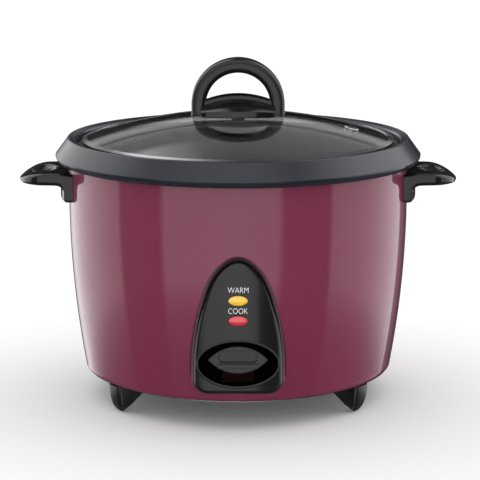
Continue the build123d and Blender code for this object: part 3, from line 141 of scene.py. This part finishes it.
# ---------------------------------------------------------------- materials
def make_materials():
    """One Blender material for each material slot of the record."""
    made = {}

    def keep(slot, first, second, rough, **options):
        made[slot] = surface(slot, first, second, rough, **options)

    wine = (0.170, 0.024, 0.058)
    keep("drum_enamel", wine, shade(wine, 1.05), (0.36, 0.42), grain_scale=260, grain=3e-6, edge=1.2 * MM,
         Coat_Weight=1.0, Coat_Roughness=0.02, Coat_IOR=1.5, Specular_IOR_Level=0.12)
    keep("collar_plastic", (0.012, 0.015, 0.022), (0.015, 0.018, 0.026), (0.20, 0.25),
         grain_scale=1400, grain=3e-6, edge=0.8 * MM)
    keep("black_plastic", (0.006, 0.006, 0.007), (0.009, 0.009, 0.010), (0.035, 0.065), grain=2e-6,
         edge=0.7 * MM)
    keep("panel_plastic", (0.008, 0.008, 0.009), (0.011, 0.011, 0.012), (0.17, 0.23), grain=4e-6,
         edge=0.7 * MM)
    keep("paddle_plastic", (0.008, 0.008, 0.009), (0.011, 0.011, 0.012), (0.12, 0.17), grain=4e-6,
         edge=0.5 * MM)
    keep("foot_plastic", (0.008, 0.008, 0.009), (0.012, 0.012, 0.013), (0.22, 0.30), grain=8e-6,
         edge=1.2 * MM)
    keep("lid_glass", (0.93, 0.94, 0.94), (0.96, 0.97, 0.97), (0.0, 0.01), grain=0,
         Transmission_Weight=1.0, IOR=1.5)
    keep("rim_steel", (0.62, 0.62, 0.63), (0.70, 0.70, 0.71), (0.12, 0.20), metallic=1.0,
         stretch=(1, 1, 12))
    keep("pot_aluminium", (0.014, 0.014, 0.015), (0.020, 0.020, 0.021), (0.36, 0.46), grain=2e-5)
    keep("liner_steel", (0.50, 0.50, 0.51), (0.62, 0.62, 0.63), (0.30, 0.45), metallic=1.0)
    keep("screw_steel", (0.50, 0.50, 0.50), (0.60, 0.60, 0.60), (0.25, 0.35), metallic=1.0)
    keep("amber_lens", (0.84, 0.50, 0.020), (0.92, 0.60, 0.050), (0.05, 0.09), grain_scale=700, grain=5e-5,
         Coat_Weight=1.0, Coat_Roughness=0.02, Coat_IOR=1.8)
    keep("red_lens", (0.56, 0.014, 0.026), (0.70, 0.034, 0.050), (0.05, 0.09), grain_scale=700,
         grain=5e-5, Coat_Weight=1.0, Coat_Roughness=0.02, Coat_IOR=1.8)
    keep("lamp_glass", (0.90, 0.86, 0.80), (0.95, 0.92, 0.88), (0.02, 0.06), grain=2e-6,
         Transmission_Weight=1.0, IOR=1.45)
    keep("cast_aluminium", (0.60, 0.60, 0.61), (0.70, 0.70, 0.71), (0.30, 0.42), metallic=1.0)
    keep("heater_steel", (0.32, 0.29, 0.26), (0.42, 0.39, 0.36), (0.30, 0.45), metallic=1.0)
    keep("sensor_steel", (0.58, 0.57, 0.56), (0.66, 0.65, 0.64), (0.22, 0.34), metallic=1.0)
    keep("ferrite", (0.040, 0.038, 0.037), (0.060, 0.057, 0.055), (0.5, 0.65), grain=3e-5)
    keep("spring_steel", (0.52, 0.52, 0.53), (0.62, 0.62, 0.63), (0.20, 0.30), metallic=1.0)
    keep("lever_steel", (0.56, 0.56, 0.57), (0.66, 0.66, 0.67), (0.22, 0.34), metallic=1.0)
    keep("switch_plastic", (0.10, 0.018, 0.013), (0.13, 0.024, 0.018), (0.40, 0.50))
    keep("pale_plastic", (0.66, 0.64, 0.58), (0.74, 0.72, 0.66), (0.36, 0.46))
    keep("inlet_plastic", (0.014, 0.014, 0.015), (0.020, 0.020, 0.021), (0.34, 0.42), grain=1.5e-5)
    keep("pin_brass", (0.70, 0.58, 0.32), (0.78, 0.66, 0.40), (0.20, 0.30), metallic=1.0)
    keep("fuse_sleeve", (0.66, 0.65, 0.60), (0.78, 0.77, 0.72), (0.70, 0.85), grain_scale=2500, grain=8e-5)
    keep("resistor_ceramic", (0.72, 0.70, 0.66), (0.80, 0.79, 0.75), (0.45, 0.60))
    keep("wire_brown", (0.14, 0.050, 0.020), (0.18, 0.065, 0.028), (0.42, 0.52))
    keep("wire_blue", (0.025, 0.085, 0.33), (0.035, 0.11, 0.40), (0.42, 0.52))
    keep("wire_white", (0.66, 0.66, 0.64), (0.76, 0.76, 0.74), (0.42, 0.52))
    return made


materials = make_materials()
slot_of = {row["node"]: row["material_slot"] for row in frame["record"]["subparts"]}
for node, obj in frame["nodes"].items():
    obj.data.materials.clear()
    obj.data.materials.append(materials["paddle_plastic" if node == "lever_paddle" else slot_of[node]])


def paint_well_shade(mat):
    """Painted shade in the lever well: its walls and floor, which lie behind the panel's front, are painted
    almost black and matt to stand for the shadow inside the open hole.
    """
    tree = mat.node_tree
    link = tree.links.new
    shader = next(n for n in tree.nodes if n.type == "BSDF_PRINCIPLED")
    coords = tree.nodes.new("ShaderNodeTexCoord")
    split = tree.nodes.new("ShaderNodeSeparateXYZ")
    link(coords.outputs["Object"], split.inputs[0])

    def math(operation, a, b):
        node = tree.nodes.new("ShaderNodeMath")
        node.operation = operation
        for socket, value in zip(node.inputs, (a, b)):
            if isinstance(value, (int, float)):
                socket.default_value = value
            else:
                link(value, socket)
        return node.outputs[0]

    across = math("DIVIDE", split.outputs["X"], WELL_W / 2 + 0.3 * MM)
    up = math("DIVIDE", math("SUBTRACT", split.outputs["Z"], WELL_Z), WELL_H / 2 + 0.3 * MM)
    inside = math("LESS_THAN", math("ADD", math("MULTIPLY", across, across), math("MULTIPLY", up, up)), 1.0)
    behind = math("GREATER_THAN", split.outputs["Y"], PANEL_Y + 0.9 * MM)
    well = math("MULTIPLY", inside, behind)
    # painted shade: inside the well the base colour goes almost black and matt, and its specular is cut,
    # standing for the shadow deep in the open hole
    for name, dark in (("Base Color", (0.001, 0.001, 0.001, 1)), ("Roughness", (0.75, 0.75, 0.75, 1))):
        mix = tree.nodes.new("ShaderNodeMix")
        mix.data_type = "RGBA"
        link(well, mix.inputs["Factor"])
        link(shader.inputs[name].links[0].from_socket, mix.inputs["A"])
        mix.inputs["B"].default_value = dark
        link(mix.outputs["Result"], shader.inputs[name])
    link(math("MULTIPLY", math("SUBTRACT", 1.0, well), 0.5), shader.inputs["Specular IOR Level"])
    # the moulding's front is slightly crowned across its width
    bump = next(n for n in tree.nodes if n.type == "BUMP")
    crown = tree.nodes.new("ShaderNodeCombineXYZ")
    link(math("DIVIDE", split.outputs["X"], CROWN_R), crown.inputs["X"])
    lean = tree.nodes.new("ShaderNodeVectorMath")
    lean.operation = "ADD"
    link(bump.inputs["Normal"].links[0].from_socket, lean.inputs[0])
    link(crown.outputs[0], lean.inputs[1])
    unit = tree.nodes.new("ShaderNodeVectorMath")
    unit.operation = "NORMALIZE"
    link(lean.outputs[0], unit.inputs[0])
    link(unit.outputs[0], bump.inputs["Normal"])


paint_well_shade(materials["panel_plastic"])


# ---------------------------------------------------------------- pieces
def add_piece(name, mesh, finish, body, stands_for=None):
    mesh.materials.clear()
    mesh.materials.append(materials[finish] if finish in materials else finish)
    piece = bpy.data.objects.new(name, mesh)
    scene.collection.objects.link(piece)
    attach(piece, body)
    if stands_for:
        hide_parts(stands_for)
    return piece


def add_skin(bm, rings, closed_ends=True):
    """Joins rings of points into a skin, with a cap on each end."""
    loops = [[bm.verts.new(p) for p in ring] for ring in rings]
    count = len(rings[0])
    for a, b in zip(loops, loops[1:]):
        for i in range(count):
            j = (i + 1) % count
            bm.faces.new((a[i], a[j], b[j], b[i]))
    if closed_ends:
        bm.faces.new(loops[0][::-1])
        bm.faces.new(loops[-1])
    else:
        for i in range(count):
            j = (i + 1) % count
            bm.faces.new((loops[-1][i], loops[-1][j], loops[0][j], loops[0][i]))


def finish_mesh(name, bm, sharp=50):
    bmesh.ops.recalc_face_normals(bm, faces=bm.faces)
    mesh = bpy.data.meshes.new(name)
    bm.to_mesh(mesh)
    bm.free()
    mesh.shade_smooth()
    mesh.set_sharp_from_angle(angle=radians(sharp))
    return mesh


def between(value, table):
    """Straight-line reading of a short (place, value) table."""
    if value <= table[0][0]:
        return table[0][1]
    for (x0, y0), (x1, y1) in zip(table, table[1:]):
        if value <= x1:
            return y0 + (y1 - y0) * (value - x0) / (x1 - x0)
    return table[-1][1]


def make_grip(node, side):
    """Side grip: a rounded arm that droops to its tip, on a pad that hugs the drum."""
    drum, pad, flank, tip = 121.5, 127.6, 137.0, 157.0
    top, under, foot = 164.3, 156.0, 144.2
    root_half, flank_half = 33.5, 31.0
    dimple_x, dimple_a, dimple_b, dimple_deep = 139.9, 8.8, 16.0, 3.9
    tip_round, tip_lift, tip_droop = 3.6, 1.9, 6.4
    edge_r, pad_edge_r = 2.8, 1.8
    step, tip_steps, across, corner_steps = 0.6, 10, 56, 8
    stations = [(drum, foot + 0.5), (drum + 0.8, foot), (pad - 2.2, foot), (pad - 1.1, foot + 0.3),
                (pad - 0.3, foot + 1.1), (pad, foot + 2.2), (pad + 0.01, under - 4.4),
                (pad + 0.4, under - 2.6), (pad + 1.3, under - 1.2), (pad + 2.6, under - 0.3),
                (pad + 4.2, under)]
    x = pad + 4.8
    while x < tip - tip_round:
        stations.append((x, under))
        x += step
    for k in range(tip_steps):
        part = sin(pi / 2 * (k + 1) / tip_steps)
        lift = tip_lift * (1 - sqrt(max(0.0, 1 - part ** 2)))
        stations.append((tip - tip_round + tip_round * part, under + lift))
    rings = []
    for x, low in stations:
        if x < flank:
            half = root_half + (flank_half - root_half) * (x - drum) / (flank - drum)
        else:
            half = flank_half * sqrt(max(0.0006, 1 - ((x - flank) / (tip - flank)) ** 2))
        droop = max(0.0, (x - flank) / (tip - flank))
        high = top - tip_droop * droop ** 2.2
        high = max(high, low + 0.05)
        thick = high - low
        r_top = min(edge_r, 0.48 * thick, half * 0.9)
        r_low = min(edge_r if x > pad + 1 else pad_edge_r, 0.48 * thick, half * 0.9)
        hug = max(0.0, min(1.0, (flank - x) / (flank - pad)))
        outline = []
        for cy, cz, r, start in ((-(half - r_top), high - r_top, r_top, 180),
                                 (half - r_top, high - r_top, r_top, 90),
                                 (half - r_low, low + r_low, r_low, 0),
                                 (-(half - r_low), low + r_low, r_low, -90)):
            for k in range(corner_steps):
                turn = radians(start - 90 * k / (corner_steps - 1))
                outline.append((cy + r * cos(turn), cz + r * sin(turn)))
            if start == 180:
                flat = half - r_top
                outline += [(-flat + 2 * flat * k / across, high) for k in range(1, across)]
            if start == 0:
                flat = half - r_low
                outline += [(flat - 2 * flat * k / across, low) for k in range(1, across)]
        ring = []
        for y, z in outline:
            reach = ((x - dimple_x) / dimple_a) ** 2 + (y / dimple_b) ** 2
            if reach < 1 and z > high - 0.01:
                z -= dimple_deep * (1 - reach) ** 0.75
            wrap = drum - sqrt(drum ** 2 - y ** 2)
            ring.append((side * (x - wrap * hug) * MM, y * MM, z * MM))
        rings.append(ring)
    bm = bmesh.new()
    add_skin(bm, rings)
    add_piece(node + "_body", finish_mesh(node, bm, 60), slot_of[node], "root", node)


def make_foot(node, angle):
    """Foot: a curved outer wall that narrows to its tip, with a thin web behind it."""
    ring_r, bulge, tall, wall_top = 101.4, 8.4, 17.8, 19.4
    tip_out, web_tip_r, web_root_r, web_low = 0.8, 99.6, 76.5, 0.7
    out_x, out_y = sin(radians(angle)), -cos(radians(angle))

    def place(r, t, z):
        return ((r * out_x - t * out_y) * MM, (r * out_y + t * out_x) * MM, z * MM)

    bm = bmesh.new()
    rings = []
    steps, sides = 22, 40
    for k in range(steps + 1):
        z = wall_top * (1 - cos(pi / 2 * k / steps))
        swell = sqrt(max(0.0, 1 - (1 - z / wall_top) ** 2))
        outer = ring_r + tip_out + (bulge - tip_out) * swell
        half = 1.6 + 5.4 * swell ** 0.8
        inner = outer - 1.6 - 2.0 * swell
        ring = []
        for j in range(sides):
            turn = 2 * pi * j / sides
            along, aside = cos(turn), sin(turn)
            t = half * (abs(aside) ** 0.55) * (1 if aside >= 0 else -1)
            mid, reach = (outer + inner) / 2, (outer - inner) / 2
            crown = (outer - mid) * 0.35 * (t / half) ** 2
            r = mid + reach * (abs(along) ** 0.55) * (1 if along >= 0 else -1) - (crown if along > 0 else 0)
            ring.append(place(r, t, z))
        rings.append(ring)
    add_skin(bm, rings)
    rings = []
    for k in range(steps + 1):
        z = web_low + (tall - web_low) * k / steps
        swell = sqrt(max(0.0, 1 - (1 - z / tall) ** 2))
        outer = ring_r + tip_out + (bulge - tip_out) * swell - 1.4
        inner = web_tip_r - (web_tip_r - web_root_r) * (z - web_low) / (tall - web_low)
        inner = min(inner, outer - 0.8)
        half = between(z, ((web_low, 1.2), (4.0, 2.6), (tall, 3.2)))
        edge = min(0.7, half * 0.5)
        ring = [place(outer, -half, z), place(outer, half, z), place(inner + edge, half, z),
                place(inner + edge * 0.3, half - edge * 0.3, z), place(inner, half - edge, z),
                place(inner, edge - half, z), place(inner + edge * 0.3, edge * 0.3 - half, z),
                place(inner + edge, -half, z)]
        rings.append(ring)
    add_skin(bm, rings)
    add_piece(node + "_body", finish_mesh(node, bm, 55), slot_of[node], "root", node)


def make_well_rim():
    """Raised bead round the mouth of the lever well."""
    wide, tall, bead = WELL_W / 2 + 0.55 * MM, WELL_H / 2 + 0.45 * MM, 0.95 * MM
    sunk = 0.25 * MM
    steps, sides = 160, 14
    rings = []
    for k in range(steps):
        turn = 2 * pi * k / steps
        out = Vector((cos(turn) / wide, 0, sin(turn) / tall)).normalized()
        centre = Vector((wide * cos(turn), PANEL_Y + sunk, WELL_Z + tall * sin(turn)))
        ring = []
        for j in range(sides):
            roll = 2 * pi * j / sides
            ring.append(centre + out * (bead * cos(roll)) + Vector((0, bead * sin(roll), 0)))
        rings.append(ring)
    bm = bmesh.new()
    add_skin(bm, rings, closed_ends=False)
    add_piece("well_rim", finish_mesh("well_rim", bm, 80), "paddle_plastic", "root")


def make_label(name, words, width, middle_z):
    """Printed capitals on the panel's flat front."""
    curve = bpy.data.curves.new(name, "FONT")
    curve.body = words
    curve.align_x = "CENTER"
    curve.align_y = "CENTER"
    curve.extrude = 0.4
    curve.offset = -0.012
    text = bpy.data.objects.new(name, curve)
    scene.collection.objects.link(text)
    bpy.context.view_layer.update()
    mesh = bpy.data.meshes.new_from_object(text)
    bpy.data.objects.remove(text)
    low_x = min(v.co.x for v in mesh.vertices)
    high_x = max(v.co.x for v in mesh.vertices)
    low_y = min(v.co.y for v in mesh.vertices)
    high_y = max(v.co.y for v in mesh.vertices)
    wide = width / (high_x - low_x)
    tall = LABEL_CAP / (high_y - low_y)
    for v in mesh.vertices:
        x = (v.co.x - (low_x + high_x) / 2) * wide
        z = (v.co.y - (low_y + high_y) / 2) * tall
        v.co = Vector((x, PANEL_Y - (0.02 * MM if v.co.z > 0 else -0.02 * MM), middle_z + z))
    mesh.materials.clear()
    mesh.materials.append(ink)
    label = bpy.data.objects.new(name, mesh)
    scene.collection.objects.link(label)
    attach(label, "root")


ink = surface("label_ink", (0.80, 0.80, 0.80), (0.90, 0.90, 0.90), (0.40, 0.50))
make_grip("right_handle", 1)
make_grip("left_handle", -1)
for node, angle in (("foot_front_right", 53.6), ("foot_rear_right", 126.4), ("foot_rear_left", 233.6),
                    ("foot_front_left", -53.6)):
    make_foot(node, angle)
make_well_rim()
make_label("label_warm", "WARM", 14.0 * MM, 99.5 * MM)
make_label("label_cook", "COOK", 13.2 * MM, 85.1 * MM)


# ---------------------------------------------------------------- studio
def make_floor():
    bm = bmesh.new()
    half = 9.0
    steps = 12
    grid = [[bm.verts.new((-half + 2 * half * i / steps, -half + 2 * half * j / steps, 0))
             for i in range(steps + 1)] for j in range(steps + 1)]
    for j in range(steps):
        for i in range(steps):
            bm.faces.new((grid[j][i], grid[j][i + 1], grid[j + 1][i + 1], grid[j + 1][i]))
    mesh = bpy.data.meshes.new("floor")
    bm.to_mesh(mesh)
    bm.free()
    floor = bpy.data.objects.new("floor", mesh)
    scene.collection.objects.link(floor)
    mesh.materials.append(surface("floor_paper", (0.88, 0.88, 0.88), (0.90, 0.90, 0.90), (0.7, 0.8),
                                  tone_scale=3, grain_scale=600, grain=1e-5))
    floor.visible_glossy = False


def make_world():
    """A white studio with a dark back: light cards in front and at both sides, with gaps between them."""
    world = bpy.data.worlds.new("studio")
    scene.world = world
    world.use_nodes = True
    tree = world.node_tree
    tree.nodes.clear()
    link = tree.links.new
    brightest = 2.5

    def math(operation, a, b=None):
        node = tree.nodes.new("ShaderNodeMath")
        node.operation = operation
        for socket, value in zip(node.inputs, (a, b)):
            if isinstance(value, (int, float)):
                socket.default_value = value
            elif value is not None:
                link(value, socket)
        return node.outputs[0]

    def ramp(value, full, stops):
        """Light level by an angle, from (degrees, level) stops that cover -full..full."""
        node = tree.nodes.new("ShaderNodeValToRGB")
        node.color_ramp.interpolation = "LINEAR"
        elements = node.color_ramp.elements
        while len(elements) < len(stops):
            elements.new(0.5)
        for element, (degrees, level) in zip(elements, stops):
            element.position = (degrees + full) / (2 * full)
            grey = level / brightest
            element.color = (grey, grey, grey, 1)
        link(value, node.inputs["Fac"])
        return math("MULTIPLY", node.outputs["Color"], brightest)

    coords = tree.nodes.new("ShaderNodeTexCoord")
    split = tree.nodes.new("ShaderNodeSeparateXYZ")
    link(coords.outputs["Generated"], split.inputs[0])
    x, y, z = split.outputs
    # both run 0..1: turn is about +Z from straight in front of the cooker, positive to its right (+X)
    turn = math("ADD", math("DIVIDE", math("ARCTAN2", x, math("MULTIPLY", y, -1)), 2 * pi), 0.5)
    height = math("ADD", math("DIVIDE", math("ARCSINE", z), pi), 0.5)

    low_cards = ramp(turn, 180, [
        (-180, 0.0), (-166, 0.05), (-161, 0.95), (-152, 1.6), (-126, 1.5), (-110, 1.4), (-88, 1.1),
        (-85, 0.12), (-54, 0.06), (-50, 1.1), (0, 1.25), (27, 1.1), (31, 0.08), (64, 0.06), (67, 1.05),
        (88, 1.1), (110, 1.4), (126, 1.5), (142, 1.45), (145, 0.15), (156, 0.06), (180, 0.0)])
    high_cards = ramp(turn, 180, [
        (-180, 0.0), (-163, 0.05), (-148, 1.5), (-121, 1.95), (-98, 1.5), (-77, 0.55), (-54, 0.9),
        (0, 1.2), (40, 0.9), (57, 0.46), (80, 1.43), (101, 2.2), (124, 2.0), (140, 1.25), (150, 0.1),
        (180, 0.0)])
    rise = ramp(height, 90, [(-90, 0.0), (8, 0.0), (34, 1.0), (90, 1.0)])
    foot = ramp(height, 90, [
        (-90, 0.08), (-30, 0.1), (-26, 0.15), (-23, 0.28), (-21, 0.5), (-18, 1.0), (66, 1.0), (78, 0.6),
        (90, 0.5)])
    back = ramp(height, 90, [
        (-90, 0.0), (10, 0.0), (13, 0.3), (15, 0.42), (18, 0.38), (20, 0.14), (26, 0.06), (90, 0.05)])
    behind = ramp(turn, 180, [
        (-180, 1.0), (-162, 1.0), (-148, 0.0), (0, 0.0), (146, 0.0), (158, 1.0), (180, 1.0)])
    cards = math("ADD", math("MULTIPLY", low_cards, math("SUBTRACT", 1.0, rise)),
                 math("MULTIPLY", high_cards, rise))
    level = math("ADD", math("MULTIPLY", cards, foot), math("MULTIPLY", back, behind))
    # a tall card at the left of the back, seen only in the glass
    side = ramp(turn, 180, [(-180, 0.0), (-175, 0.05), (-166, 0.8), (-152, 1.2), (-146, 0.0), (180, 0.0)])
    tall = ramp(height, 90, [(-90, 0.0), (31, 0.0), (34, 1.0), (58, 1.0), (66, 0.0), (90, 0.0)])
    level = math("ADD", level, math("MULTIPLY", side, tall))
    path = tree.nodes.new("ShaderNodeLightPath")
    even = ramp(height, 90, [(-90, 0.5), (-5, 1.2), (0, 1.5), (18, 1.35), (40, 0.65), (90, 0.45)])
    diffuse = path.outputs["Is Diffuse Ray"]
    level = math("ADD", math("MULTIPLY", level, math("SUBTRACT", 1.0, diffuse)),
                 math("MULTIPLY", diffuse, even))
    light = tree.nodes.new("ShaderNodeBackground")
    link(level, light.inputs["Color"])
    light.inputs["Strength"].default_value = 1.0
    seen = tree.nodes.new("ShaderNodeBackground")
    seen.inputs["Color"].default_value = (1, 1, 1, 1)
    mix = tree.nodes.new("ShaderNodeMixShader")
    out = tree.nodes.new("ShaderNodeOutputWorld")
    link(path.outputs["Is Camera Ray"], mix.inputs["Fac"])
    link(light.outputs[0], mix.inputs[1])
    link(seen.outputs[0], mix.inputs[2])
    link(mix.outputs[0], out.inputs["Surface"])


def make_overhead():
    """A wide soft box overhead, which whitens the floor and isn't seen in reflections."""
    data = bpy.data.lights.new("soft_box", "AREA")
    data.shape = "RECTANGLE"
    data.size = 11.0
    data.size_y = 11.0
    data.energy = 205.0
    lamp = bpy.data.objects.new("soft_box", data)
    lamp.location = (0, 3.0, 3.4)
    lamp.visible_glossy = False
    scene.collection.objects.link(lamp)


def make_camera():
    camera = bpy.data.objects.new("camera", bpy.data.cameras.new("camera"))
    scene.collection.objects.link(camera)
    scene.camera = camera
    pitch = radians(11.1)
    distance = 1.6
    aim = 0.1111
    camera.location = (0, -distance * cos(pitch), aim + distance * sin(pitch))
    camera.rotation_euler = (pi / 2 - pitch, 0, 0)
    camera.data.sensor_width = 36
    camera.data.lens = 165.45
    camera.data.shift_x = 0.004


make_floor()
make_world()
make_overhead()
make_camera()
